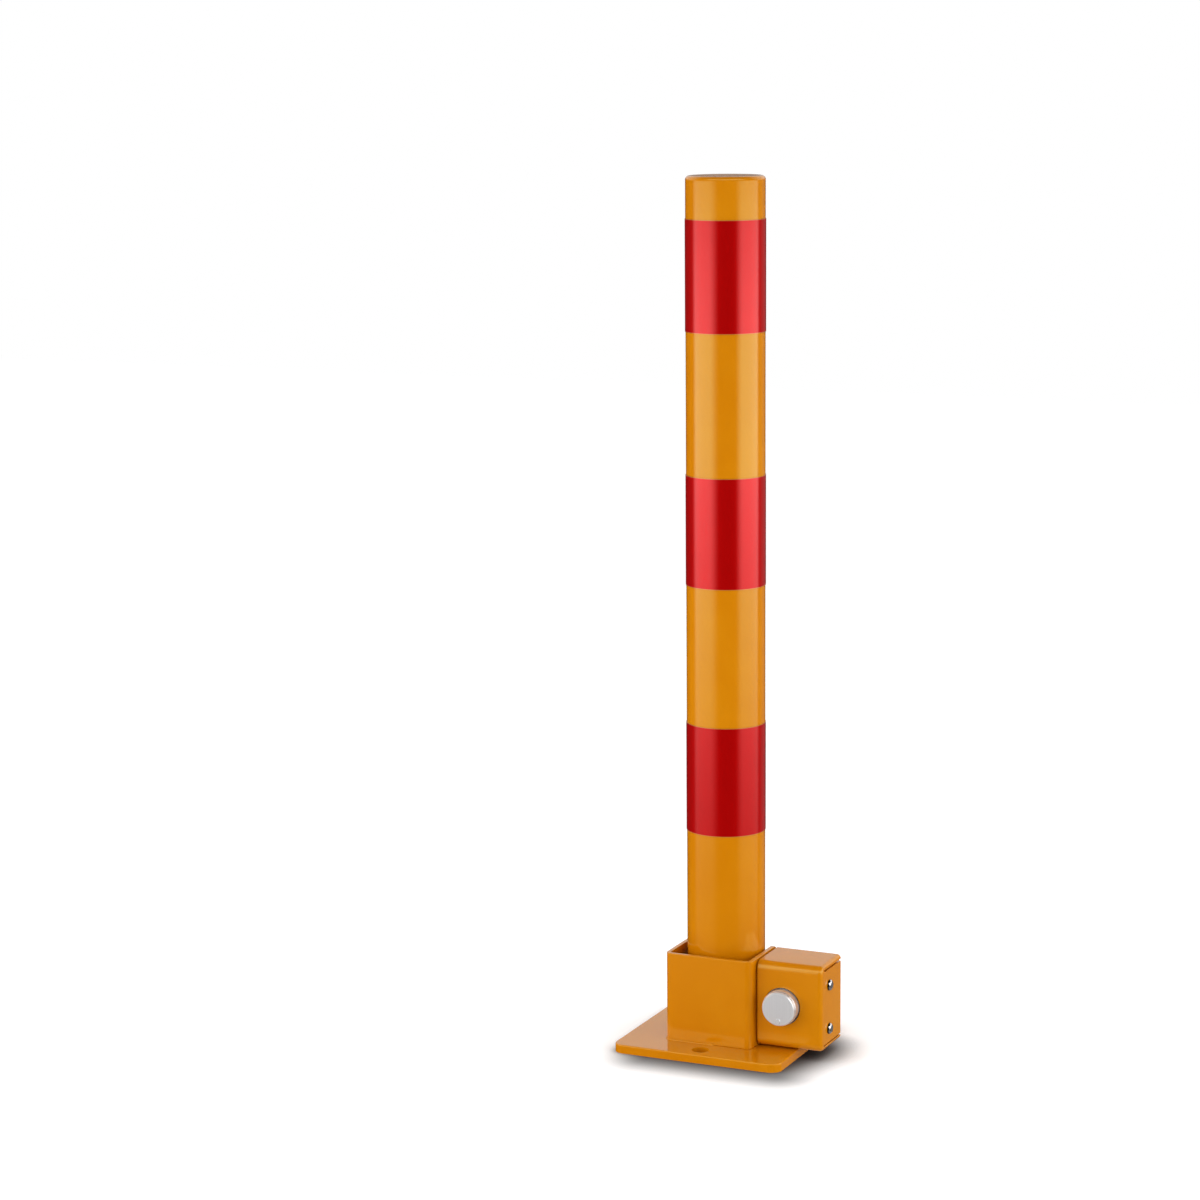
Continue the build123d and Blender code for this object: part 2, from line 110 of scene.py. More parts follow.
def soft_step(tree, value, start, end):
    """0 before start, 1 after end, with a soft rise between them."""
    ramp = tree.nodes.new("ShaderNodeMapRange")
    ramp.interpolation_type = "SMOOTHSTEP"
    tree.links.new(value, ramp.inputs["Value"])
    ramp.inputs["From Min"].default_value = start
    ramp.inputs["From Max"].default_value = end
    return ramp.outputs["Result"]


def name_inputs(group, inputs):
    """Gives a group or a tree its named inputs, each with a first value."""
    for socket_name, kind, value in inputs:
        socket = group.interface.new_socket(name=socket_name, in_out="INPUT", socket_type=kind)
        if value is not None:
            socket.default_value = value


def new_group(name, inputs, outputs):
    """An empty shader node group with its sockets, and its input and output nodes."""
    group = bpy.data.node_groups.new(name, "ShaderNodeTree")
    name_inputs(group, inputs)
    for socket_name, kind in outputs:
        group.interface.new_socket(name=socket_name, in_out="OUTPUT", socket_type=kind)
    return group, group.nodes.new("NodeGroupInput"), group.nodes.new("NodeGroupOutput")


def use_group(tree, group, **sockets):
    """Places a group in a material with its own values."""
    node = tree.nodes.new("ShaderNodeGroup")
    node.node_tree = group
    for name, value in sockets.items():
        set_socket(tree, node.inputs[name.replace("_", " ")], value)
    return node


VECTOR, FLOAT = "NodeSocketVector", "NodeSocketFloat"
print("helpers for node graphs made")

# %% [markdown]
# Powder coat is sprayed as dust and melted in an oven, so it flows out like the skin of an orange:
# a very shallow waviness one or two millimetres across. The real bollard shows it as soft, slightly
# wobbly edges on its reflections. A displacement would need millions of faces for it, so a group makes
# a height for a Bump node instead, from two sizes of noise.

# %% Group: the waviness of sprayed paint
SPECKS_PER_WAVE = 4.0
DRIFTS_PER_WAVE = 0.045


def make_paint_flow():
    group, given, made = new_group(
        "paint_flow",
        [("Vector", VECTOR, None), ("Wave Size", FLOAT, 0.0018), ("Speck Amount", FLOAT, 0.15)],
        [("Height", FLOAT), ("Thickness", FLOAT)])
    scale = math(group, "DIVIDE", 1.0, given.outputs["Wave Size"])
    waves = add_node(group, "ShaderNodeTexNoise", Vector=given.outputs["Vector"], Scale=scale,
                     Detail=1.0, Roughness=0.4)
    finer = math(group, "MULTIPLY", scale, SPECKS_PER_WAVE)
    specks = add_node(group, "ShaderNodeTexNoise", Vector=given.outputs["Vector"], Scale=finer,
                      Detail=0.0, Roughness=0.5)
    speck_height = math(group, "MULTIPLY", specks.outputs[0], given.outputs["Speck Amount"])
    group.links.new(math(group, "ADD", waves.outputs[0], speck_height), made.inputs["Height"])
    coarser = math(group, "MULTIPLY", scale, DRIFTS_PER_WAVE)
    drift = add_node(group, "ShaderNodeTexNoise", Vector=given.outputs["Vector"], Scale=coarser,
                     Detail=2.0, Roughness=0.55)
    group.links.new(drift.outputs[0], made.inputs["Thickness"])
    return group


paint_flow = make_paint_flow()
print("group", paint_flow.name, "made")

# %% [markdown]
# Turned, ground and brushed metal all show the path of the tool: fine lines that run one way and are
# close together the other way. One group stretches a noise along a direction to make them. A lathe's
# lines run round the part, so the group can read the distance from the part's axis, or the place along
# it, in place of a straight direction.

# %% Group: the marks of a tool
STREAKS_PER_LINE = 0.15


def make_tool_marks():
    group, given, made = new_group(
        "tool_marks",
        [("Vector", VECTOR, None), ("Spacing", FLOAT, 0.0003), ("Stretch", FLOAT, 25.0)],
        [("Height", FLOAT), ("Streaks", FLOAT)])
    place = add_node(group, "ShaderNodeSeparateXYZ", Vector=given.outputs["Vector"])
    scale = math(group, "DIVIDE", 1.0, given.outputs["Spacing"])
    slow = math(group, "DIVIDE", scale, given.outputs["Stretch"])
    squeezed = add_node(group, "ShaderNodeCombineXYZ",
                        X=math(group, "MULTIPLY", place.outputs[0], scale),
                        Y=math(group, "MULTIPLY", place.outputs[1], slow),
                        Z=math(group, "MULTIPLY", place.outputs[2], slow))
    lines = add_node(group, "ShaderNodeTexNoise", Vector=squeezed.outputs[0], Scale=1.0,
                     Detail=3.0, Roughness=0.65)
    group.links.new(lines.outputs[0], made.inputs["Height"])
    wide = add_node(group, "ShaderNodeVectorMath", "SCALE", Vector=squeezed.outputs[0],
                    Scale=STREAKS_PER_LINE)
    streaks = add_node(group, "ShaderNodeTexNoise", Vector=wide.outputs[0], Scale=1.0,
                       Detail=2.0, Roughness=0.5)
    group.links.new(streaks.outputs[0], made.inputs["Streaks"])
    return group


tool_marks = make_tool_marks()
print("group", tool_marks.name, "made")

# %% [markdown]
# A clean object still carries a breath of dust where nothing wipes it: on faces that look up.
# The group returns a mask that is strongest there and broken up by noise. Each material decides how
# much of it shows, so the new bollard gets only a trace.

# %% Group: a trace of dust
DUST_SLOPES = (0.35, 0.95)
DUST_PATCHES_PER_METRE = 140.0
DUST_BREAKS = (0.3, 0.75)


def make_settled_dust():
    group, given, made = new_group(
        "settled_dust", [("Vector", VECTOR, None), ("Amount", FLOAT, 0.1)], [("Mask", FLOAT)])
    surface = group.nodes.new("ShaderNodeNewGeometry")
    facing = add_node(group, "ShaderNodeSeparateXYZ", Vector=surface.outputs["Normal"])
    upward = soft_step(group, facing.outputs[2], *DUST_SLOPES)
    patches = add_node(group, "ShaderNodeTexNoise", Vector=given.outputs["Vector"],
                       Scale=DUST_PATCHES_PER_METRE, Detail=4.0, Roughness=0.6)
    broken = soft_step(group, patches.outputs[0], *DUST_BREAKS)
    mask = math(group, "MULTIPLY", math(group, "MULTIPLY", upward, broken), given.outputs["Amount"])
    group.links.new(mask, made.inputs["Mask"])
    return group


settled_dust = make_settled_dust()
print("group", settled_dust.name, "made")

# %% [markdown]
# Every finish ends in one Principled shader. The helper starts a material with it, reads Object
# coordinates, which stay on the piece when it moves, and sets the plain values straight on the shader.

# %% Start of a material
def start_material(name, **plain):
    """A new material: its tree, its Principled shader and the object's coordinates."""
    material = bpy.data.materials.new(name)
    material.use_nodes = True
    tree = material.node_tree
    shader = tree.nodes["Principled BSDF"]
    for socket, value in plain.items():
        shader.inputs[socket.replace("_", " ")].default_value = value
    place = tree.nodes.new("ShaderNodeTexCoord").outputs["Object"]
    return material, tree, shader, place


def add_bump(tree, shader, height, depth, strength=1.0):
    """Bends the shader's normal by a height. Depth is the height's real size in metres."""
    bump = add_node(tree, "ShaderNodeBump", Strength=strength, Distance=depth, Height=height)
    tree.links.new(bump.outputs["Normal"], shader.inputs["Normal"])


print("helpers for materials made")

# %% [markdown]
# The steel is coated in a glossy orange-yellow. Its colour hardly changes over the object, but a real
# coat is a little thinner and warmer here and there, so a slow noise moves the colour by a few percent.
# The gloss is that of smooth powder coat: sharp enough to mirror the studio lamps as stripes.

# %% Paint
PAINT_COLOUR = (0.635, 0.207, 0.0008, 1)
PAINT_THIN_COLOUR = (0.662, 0.228, 0.0012, 1)
PAINT_GLOSS_TINT = (0.76, 1.0, 0.42, 1)
PAINT_IOR = 1.65
PAINT_WAVE_SIZE = 0.0021
PAINT_WAVE_HEIGHT = 0.00004
PAINT_SPECKS = 0.12
PAINT_THIN_RANGE = (0.35, 0.7)
PAINT_ROUGHNESS, PAINT_ROUGHNESS_DRIFT = 0.08, 0.08
DUST_COLOUR = (0.42, 0.36, 0.28, 1)
DUST_AMOUNT = 0.02
DUST_ROUGHNESS = 1.5


def make_paint():
    material, tree, shader, place = start_material(
        "paint_orange_yellow", IOR=PAINT_IOR, Specular_Tint=PAINT_GLOSS_TINT)
    flow = use_group(tree, paint_flow, Vector=place, Wave_Size=PAINT_WAVE_SIZE, Speck_Amount=PAINT_SPECKS)
    thin = soft_step(tree, flow.outputs["Thickness"], *PAINT_THIN_RANGE)
    colour = blend_colours(tree, thin, PAINT_COLOUR, PAINT_THIN_COLOUR)
    dust = use_group(tree, settled_dust, Vector=place, Amount=DUST_AMOUNT)
    colour = blend_colours(tree, dust.outputs["Mask"], colour, DUST_COLOUR)
    tree.links.new(colour, shader.inputs["Base Color"])
    roughness = math(tree, "MULTIPLY_ADD", flow.outputs["Thickness"], PAINT_ROUGHNESS_DRIFT,
                     PAINT_ROUGHNESS)
    roughness = math(tree, "MULTIPLY_ADD", dust.outputs["Mask"], DUST_ROUGHNESS, roughness)
    tree.links.new(roughness, shader.inputs["Roughness"])
    add_bump(tree, shader, flow.outputs["Height"], PAINT_WAVE_HEIGHT)
    return material


paint = make_paint()
print("material", paint.name)

# %% [markdown]
# The red bands are reflective film. Under a clear skin lies a layer of tiny glass beads on a mirror
# backing, which is why the film answers light with a strong red of its own and not only with white
# gloss. A part metallic red under a clear coat behaves that way. The film is cut from a roll: its edges
# show the pale layer of glue, and its two ends overlap at the back of the post in an upright seam.

# %% Red film
FILM_RED = (0.61, 0.0004, 0.0004, 1)
FILM_RED_DEEP = (0.56, 0.0003, 0.0004, 1)
FILM_EDGE = (0.62, 0.20, 0.06, 1)
FILM_EDGE_WIDTH = 0.0005
FILM_EDGE_SHARP_SHARE = 0.4
FILM_LAP_WIDTH = 0.008
FILM_LAP_STEP = 0.0003
FILM_BACK_STEP = 0.001
FILM_BEADS_PER_METRE = 3800.0
FILM_CLOUDS_PER_METRE = 90.0
FILM_THICKNESS = 0.00012
FILM_BEAD_SHARE, FILM_CLOUD_SHARE = 0.05, 0.4


def make_red_film(node):
    """The film of one band. Its cut edges are found from the band's own height."""
    low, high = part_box(node)
    material, tree, shader, place = start_material(
        node + "_film", Metallic=0.42, Roughness=0.3, Specular_IOR_Level=0.1, Coat_Weight=0.62,
        Coat_Roughness=0.08)
    axes = add_node(tree, "ShaderNodeSeparateXYZ", Vector=place)
    beads = add_node(tree, "ShaderNodeTexVoronoi", Vector=place, Scale=FILM_BEADS_PER_METRE)
    cloud = add_node(tree, "ShaderNodeTexNoise", Vector=place, Scale=FILM_CLOUDS_PER_METRE,
                     Detail=3.0, Roughness=0.5)
    colour = blend_colours(tree, cloud.outputs[0], FILM_RED, FILM_RED_DEEP)
    from_middle = math(tree, "ABSOLUTE", math(tree, "SUBTRACT", axes.outputs[2], (low.z + high.z) / 2))
    half = (high.z - low.z) / 2
    edge = soft_step(tree, from_middle, half - FILM_EDGE_WIDTH,
                     half - FILM_EDGE_WIDTH * FILM_EDGE_SHARP_SHARE)
    colour = blend_colours(tree, edge, colour, FILM_EDGE)
    tree.links.new(colour, shader.inputs["Base Color"])
    behind = soft_step(tree, axes.outputs[1], 0.0, FILM_BACK_STEP)
    seam_side = soft_step(tree, axes.outputs[0], FILM_LAP_WIDTH / 2 - FILM_LAP_STEP, FILM_LAP_WIDTH / 2)
    lap = math(tree, "MULTIPLY", behind, seam_side)
    height = math(tree, "MULTIPLY_ADD", beads.outputs["Distance"], FILM_BEAD_SHARE, lap)
    height = math(tree, "MULTIPLY_ADD", cloud.outputs[0], FILM_CLOUD_SHARE, height)
    add_bump(tree, shader, height, FILM_THICKNESS, strength=0.5)
    return material


film_materials = {node: make_red_film(node) for node in nodes if node.startswith("red_band")}
print(len(film_materials), "film materials")

# %% [markdown]
# The barrel and the cover's screws are nickel and chrome plated: nearly a mirror, with faint rings left
# by the lathe. The barrel lies along Y, so its rings follow the place along Y. The screws lie along X,
# and the foot of each head is painted near black, a painted shade that shows as a dark ring round the
# head. A second, slow streak changes the roughness, as hands and cloths do.

# %% Plated steel
DULL_SHARE = 0.86
PLATED_ROUGHNESS_SHARE, PLATED_ROUGHNESS_SWING = 0.6, 0.8
PLATED_LINE_SPACING, PLATED_LINE_STRETCH = 0.00022, 30.0
# Painted shade at the foot of each screw head: its near-black colour and the span over which it fades out.
SEAT_PAINTED_SHADE = (0.035, 0.02, 0.012, 1)
SEAT_SHADE_FROM, SEAT_SHADE_TO = 0.0007, 0.0013
ALONG_X = (0, 0, 0)
ALONG_Y = (0, 0, -pi / 2)
ALONG_Z = (0, pi / 2, 0)


def make_plated(name, colour, roughness, turn, metallic=1.0, marks=0.000003, seat=None):
    """Plated or polished metal with tool marks. Turn sets which axis the lines cross.
    Seat is the X of the face that a head sits on; near it the head's foot is painted dark, a painted shade."""
    material, tree, shader, place = start_material(name, Metallic=metallic)
    turned = add_node(tree, "ShaderNodeMapping", Vector=place, Rotation=turn)
    lines = use_group(tree, tool_marks, Vector=turned.outputs[0], Spacing=PLATED_LINE_SPACING,
                      Stretch=PLATED_LINE_STRETCH)
    dull = tuple(channel * DULL_SHARE for channel in colour[:3]) + (1,)
    streaked = blend_colours(tree, lines.outputs["Streaks"], colour, dull)
    # Painted shade: the head's foot next to the seat is darkened to a near-black ring.
    if seat is not None:
        along = add_node(tree, "ShaderNodeSeparateXYZ", Vector=place).outputs[0]
        unshaded = soft_step(tree, along, seat + SEAT_SHADE_FROM, seat + SEAT_SHADE_TO)
        streaked = blend_colours(tree, unshaded, SEAT_PAINTED_SHADE, streaked)
    tree.links.new(streaked, shader.inputs["Base Color"])
    worn = math(tree, "MULTIPLY_ADD", lines.outputs["Streaks"], roughness * PLATED_ROUGHNESS_SWING,
                roughness * PLATED_ROUGHNESS_SHARE)
    tree.links.new(worn, shader.inputs["Roughness"])
    add_bump(tree, shader, lines.outputs["Height"], marks)
    return material


chrome_barrel = make_plated("chrome_turned_barrel", (0.86, 0.84, 0.84, 1), 0.24, ALONG_Y, metallic=0.62)
chrome_screw = make_plated("chrome_domed_screw", (0.80, 0.78, 0.79, 1), 0.12, ALONG_X,
                           seat=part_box("lock_cover")[1].x)
spring_steel = make_plated("spring_wire_steel", (0.42, 0.42, 0.43, 1), 0.24, ALONG_Z)
print("plated finishes made")

# %% [markdown]
# The disc over the key slot is stainless steel with a satin face. It is ground flat before its edge is
# chamfered, so the face is grey and soft while the chamfer stays bright. The face is told from the
# chamfer by its normal: only the face looks straight out along -Y.

# %% Satin steel
SATIN_LIGHT = (0.75, 0.75, 0.76, 1)
SATIN_DARK = (0.66, 0.66, 0.67, 1)
SATIN_ROUGHNESS, SATIN_ROUGHNESS_SWING = 0.36, 0.12
CHAMFER_COLOUR = (0.90, 0.90, 0.91, 1)
CHAMFER_ROUGHNESS = 0.16
FACE_NORMAL_RANGE = (0.85, 0.97)
SATIN_MARKS = 0.000004
SATIN_LINE_SPACING, SATIN_LINE_STRETCH = 0.00016, 40.0


def make_satin():
    material, tree, shader, place = start_material("satin_steel_disc", Metallic=0.42)
    lines = use_group(tree, tool_marks, Vector=place, Spacing=SATIN_LINE_SPACING,
                      Stretch=SATIN_LINE_STRETCH)
    surface = tree.nodes.new("ShaderNodeNewGeometry")
    outward = add_node(tree, "ShaderNodeSeparateXYZ", Vector=surface.outputs["Normal"])
    face = soft_step(tree, math(tree, "ABSOLUTE", outward.outputs[1]), *FACE_NORMAL_RANGE)
    colour = blend_colours(tree, lines.outputs["Streaks"], SATIN_LIGHT, SATIN_DARK)
    colour = blend_colours(tree, face, CHAMFER_COLOUR, colour)
    tree.links.new(colour, shader.inputs["Base Color"])
    satin = math(tree, "MULTIPLY_ADD", lines.outputs["Streaks"], SATIN_ROUGHNESS_SWING, SATIN_ROUGHNESS)
    tree.links.new(blend_values(tree, face, CHAMFER_ROUGHNESS, satin), shader.inputs["Roughness"])
    add_bump(tree, shader, lines.outputs["Height"], SATIN_MARKS)
    return material


satin_steel = make_satin()
print("material", satin_steel.name)

# %% [markdown]
# Hidden parts are zinc plated against rust. Zinc comes out of its bath with a faint blue and yellow
# cloudiness, so two slow noises tint the metal. Bronze bushes and the brass plug are turned and left
# bare, and their colour darkens in patches where fingers and oil have been.

# %% Zinc, bronze and brass
CLOUDS_PER_METRE = 160.0
CLOUD_RANGE = (0.3, 0.7)
CLOUD_ROUGHNESS_SWING = 0.2
TURNING_MARKS = 0.00001
TURNING_LINE_STRETCH = 12.0


def make_cloudy_metal(name, first, second, roughness, turn, spacing):
    """A metal whose colour drifts between two tones, under fine tool marks."""
    material, tree, shader, place = start_material(name, Metallic=1.0)
    turned = add_node(tree, "ShaderNodeMapping", Vector=place, Rotation=turn)
    lines = use_group(tree, tool_marks, Vector=turned.outputs[0], Spacing=spacing,
                      Stretch=TURNING_LINE_STRETCH)
    cloud = add_node(tree, "ShaderNodeTexNoise", Vector=place, Scale=CLOUDS_PER_METRE, Detail=3.0,
                     Roughness=0.6)
    colour = blend_colours(tree, soft_step(tree, cloud.outputs[0], *CLOUD_RANGE), first, second)
    tree.links.new(colour, shader.inputs["Base Color"])
    clouded = math(tree, "MULTIPLY_ADD", cloud.outputs[0], CLOUD_ROUGHNESS_SWING,
                   roughness - CLOUD_ROUGHNESS_SWING / 2)
    tree.links.new(clouded, shader.inputs["Roughness"])
    add_bump(tree, shader, lines.outputs["Height"], TURNING_MARKS)
    return material


zinc = make_cloudy_metal("zinc_plate", (0.56, 0.58, 0.60, 1), (0.60, 0.58, 0.52, 1), roughness=0.34,
                         turn=ALONG_X, spacing=0.0005)
bronze = make_cloudy_metal("bearing_bronze", (0.60, 0.38, 0.17, 1), (0.50, 0.29, 0.12, 1), roughness=0.32,
                           turn=ALONG_X, spacing=0.0003)
brass = make_cloudy_metal("turned_brass", (0.74, 0.54, 0.22, 1), (0.66, 0.45, 0.17, 1), roughness=0.26,
                          turn=ALONG_Y, spacing=0.00025)
print("bare metals made")

# %% [markdown]
# Each CAD node whose shape is already right keeps its mesh and gets its finish in its material slots.

# %% Finishes for the CAD nodes
SLOT_FINISH = {"yellow_paint": paint, "zinc_steel": zinc, "bright_steel": chrome_screw,
               "satin_steel": satin_steel, "plug_brass": brass, "bush_bronze": bronze}
slot_of_node = {part["node"]: part["material_slot"] for part in frame["record"]["subparts"]}


def finish_of(node):
    """The finish that a node's slot asks for, and its own where it differs."""
    if node in film_materials:
        return film_materials[node]
    if node == "lock_barrel":
        return chrome_barrel
    if node == "lock_spring":
        return spring_steel
    return SLOT_FINISH[slot_of_node[node]]


for node, thing in nodes.items():
    thing.data.materials.clear()
    thing.data.materials.append(finish_of(node))
print(len(nodes), "CAD nodes finished")

# %% [markdown]
# Folded sheet steel has no knife edges: the cutter leaves a small burr, which is broken with a file, and
# paint rounds it further. Those edges are what catches the light as thin pale lines in the photograph.
# The CAD sheets have sharp edges to stay light, so a copy of each is merged into whole faces and given
# a real Bevel of half a millimetre or less. The copy then stands for its CAD node.

# %% Sheets with softened edges
EDGE_SOFTENING = {"hinge_bracket": 0.00045, "lock_cover": 0.00045, "lock_case": 0.0003,
                  "upright_stop": 0.0005, "fold_rest": 0.0005}
MERGE_DISTANCE = 0.000002
FLAT_LIMIT, SMOOTH_LIMIT, BEVEL_LIMIT = radians(0.4), radians(30), radians(40)


def clean_copy(node):
    """A copy of a CAD node's mesh with its loose triangles merged and its flat faces made whole."""
    work = bmesh.new()
    work.from_mesh(nodes[node].data)
    bmesh.ops.remove_doubles(work, verts=work.verts, dist=MERGE_DISTANCE)
    bmesh.ops.dissolve_limit(work, angle_limit=FLAT_LIMIT, verts=work.verts, edges=work.edges,
                             use_dissolve_boundaries=False)
    mesh = bpy.data.meshes.new(node + "_sheet")
    work.to_mesh(mesh)
    work.free()
    return mesh


def shade_by_angle(mesh):
    """Smooth shading that breaks at sharp edges."""
    mesh.polygons.foreach_set("use_smooth", [True] * len(mesh.polygons))
    mesh.set_sharp_from_angle(angle=SMOOTH_LIMIT)


def place_piece(name, mesh, material, body):
    """Puts a finished mesh in the scene as a piece that rides on a body."""
    piece = bpy.data.objects.new(name, mesh)
    bpy.context.scene.collection.objects.link(piece)
    mesh.materials.clear()
    mesh.materials.append(material)
    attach(piece, body)
    return piece


for node, width in EDGE_SOFTENING.items():
    mesh = clean_copy(node)
    shade_by_angle(mesh)
    piece = place_piece(node + "_softened", mesh, finish_of(node), body_of_node[node])
    bevel = piece.modifiers.new("edge", "BEVEL")
    bevel.width = width
    bevel.segments = 3
    bevel.limit_method = "ANGLE"
    bevel.angle_limit = BEVEL_LIMIT
    bevel.harden_normals = True
    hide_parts(node)
    print(node, "softened,", len(mesh.polygons), "faces before its bevel")

# %% [markdown]
# The lock's barrel is turned on a lathe and then polished, which rolls its front edge over. That rolled
# edge is the bright crescent beside the disc. The CAD barrel has a flat chamfer there, so the rim of a
# merged copy's chamfer is rounded in mesh code, which follows the same circle and adds few faces.

# %% The barrel's rolled front edge
BARREL_ROUNDING = 0.0021
BARREL_CHAMFER_DEPTH = 0.001
RIM_TOLERANCE = 0.00005


def round_barrel_front():
    """A copy of the barrel with the outer rim of its front chamfer rounded."""
    low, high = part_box("lock_barrel")
    axis_x, axis_z, radius = (low.x + high.x) / 2, (low.z + high.z) / 2, (high.x - low.x) / 2
    work = bmesh.new()
    work.from_mesh(clean_copy("lock_barrel"))

    def on_rim(vertex):
        from_axis = ((vertex.co.x - axis_x) ** 2 + (vertex.co.z - axis_z) ** 2) ** 0.5
        past_chamfer = vertex.co.y - low.y - BARREL_CHAMFER_DEPTH
        return abs(past_chamfer) < RIM_TOLERANCE and abs(from_axis - radius) < RIM_TOLERANCE

    rim = [edge for edge in work.edges if all(on_rim(vertex) for vertex in edge.verts)]
    bmesh.ops.bevel(work, geom=rim, offset=BARREL_ROUNDING, segments=5, profile=0.5, affect="EDGES",
                    clamp_overlap=True)
    mesh = bpy.data.meshes.new("lock_barrel_rolled")
    work.to_mesh(mesh)
    work.free()
    shade_by_angle(mesh)
    return mesh, len(rim)


barrel_mesh, rim_edges = round_barrel_front()
barrel_piece = place_piece("lock_barrel_rolled", barrel_mesh, chrome_barrel, body_of_node["lock_barrel"])
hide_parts("lock_barrel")
print("barrel's rim of", rim_edges, "edges rounded")

# %% [markdown]
# Geometry Nodes need the same small steps as shader graphs: a tree with named inputs, and a modifier
# that sets those inputs by the socket's identifier. The result is then frozen to a plain mesh, so that
# the piece can ride on a body.

# %% Helpers for Geometry Nodes
GEOMETRY, MATERIAL, INTEGER = "NodeSocketGeometry", "NodeSocketMaterial", "NodeSocketInt"


def new_geometry_tree(name, inputs):
    """A Geometry Nodes tree with a Geometry socket each way and named inputs."""
    tree = bpy.data.node_groups.new(name, "GeometryNodeTree")
    name_inputs(tree, [("Geometry", GEOMETRY, None)] + inputs)
    tree.interface.new_socket(name="Geometry", in_out="OUTPUT", socket_type=GEOMETRY)
    return tree, tree.nodes.new("NodeGroupInput"), tree.nodes.new("NodeGroupOutput")


def end_geometry_tree(tree, geometry, given, made):
    """Ends a tree in Realize Instances and Set Material."""
    real = add_node(tree, "GeometryNodeRealizeInstances", Geometry=geometry)
    coloured = add_node(tree, "GeometryNodeSetMaterial", Geometry=real.outputs[0],
                        Material=given.outputs["Material"])
    tree.links.new(coloured.outputs[0], made.inputs["Geometry"])


def run_geometry_tree(tree, base, name, values):
    """Runs a tree on a base mesh and returns the result as a plain mesh."""
    holder = bpy.data.objects.new(name + "_base", base)
    bpy.context.scene.collection.objects.link(holder)
    modifier = holder.modifiers.new("nodes", "NODES")
    modifier.node_group = tree
    for item in tree.interface.items_tree:
        if item.item_type == "SOCKET" and item.in_out == "INPUT" and item.name in values:
            modifier[item.identifier] = values[item.name]
    evaluated = holder.evaluated_get(bpy.context.evaluated_depsgraph_get())
    mesh = bpy.data.meshes.new_from_object(evaluated)
    mesh.name = name
    holder.modifiers.remove(modifier)
    bpy.data.objects.remove(holder)
    return mesh


print("helpers for geometry trees made")

# %% [markdown]
# The bracket is welded to the plate. A weld is laid as a row of small overlapping puddles, and under the
# thick coat it reads as a soft fillet along the bracket's foot. A sweep of one profile would look too
# even, so the tree walks along a path, drops a ball at each step, turned along the path, and sizes each
# one a little by a fixed seed. The balls are half sunk in the corner, so only the bead shows.

# %% Tree: a weld bead
def make_weld_tree():
    tree, given, made = new_geometry_tree("weld_bead", [
        ("Step", FLOAT, 0.0011), ("Radius", FLOAT, 0.0022), ("Unevenness", FLOAT, 0.1),
        ("Seed", INTEGER, 7), ("Material", MATERIAL, None)])
    line = add_node(tree, "GeometryNodeMeshToCurve", Mesh=given.outputs["Geometry"])
    points = tree.nodes.new("GeometryNodeCurveToPoints")
    points.mode = "LENGTH"
    tree.links.new(line.outputs[0], points.inputs["Curve"])
    tree.links.new(given.outputs["Step"], points.inputs["Length"])
    puddle = add_node(tree, "GeometryNodeMeshUVSphere", Segments=12, Rings=7,
                      Radius=given.outputs["Radius"])
    smooth = add_node(tree, "GeometryNodeSetShadeSmooth", Geometry=puddle.outputs[0])
    least = math(tree, "SUBTRACT", 1.0, given.outputs["Unevenness"])
    size = tree.nodes.new("FunctionNodeRandomValue")
    tree.links.new(least, size.inputs[2])
    size.inputs[3].default_value = 1.0
    tree.links.new(given.outputs["Seed"], size.inputs["Seed"])
    dropped = add_node(tree, "GeometryNodeInstanceOnPoints", Points=points.outputs["Points"],
                       Instance=smooth.outputs[0], Rotation=points.outputs["Rotation"])
    tree.links.new(size.outputs[1], dropped.inputs["Scale"])
    end_geometry_tree(tree, dropped.outputs[0], given, made)
    return tree


weld_tree = make_weld_tree()
print("tree", weld_tree.name, "made")

# %% [markdown]
# The front bead covers the left two thirds of the bracket's foot, where the photograph shows the joint
# smeared over, and stops where the dark line of the open joint starts. The side beads and the beads of
# the fold rest are on the outside and the back, clear of the swinging post.

# %% Weld beads
BEAD_RADIUS, BEAD_STEP, BEAD_SINK = 0.0011, 0.0008, 0.0001
BEAD_UNEVENNESS = 0.1
FIRST_BEAD_SEED = 3
FRONT_BEAD_SHARE = 0.12
CORNER_BEAD_LENGTH = 0.016
LEFT_BEAD_START = -0.004
LEFT_BEAD_SHORT, RIGHT_BEAD_SHORT = 0.004, 0.003
REAR_BEAD_HALF = 0.020
COVER_CLEARANCE = 0.0015
BEND_RADIUS = 0.005
plate_low, plate_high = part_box("base_plate")
bracket_low, bracket_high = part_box("hinge_bracket")
cover_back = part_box("lock_cover")[1].y
rest_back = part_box("fold_rest")[1].y


def left_corner(steps=8):
    """Points round the bracket's front left corner, on its bend."""
    centre = Vector((bracket_low.x + BEND_RADIUS, bracket_low.y + BEND_RADIUS))
    return [centre - Vector((BEND_RADIUS * sin(a), BEND_RADIUS * cos(a)))
            for a in (pi / 2 * i / steps for i in range(steps + 1))]


def path_mesh(name, points):
    """A chain of edges at the height of the bracket's foot, which a tree can walk along."""
    mesh = bpy.data.meshes.new(name)
    mesh.from_pydata([(x, y, plate_high.z - BEAD_SINK) for x, y in points],
                     [(i, i + 1) for i in range(len(points) - 1)], [])
    return mesh


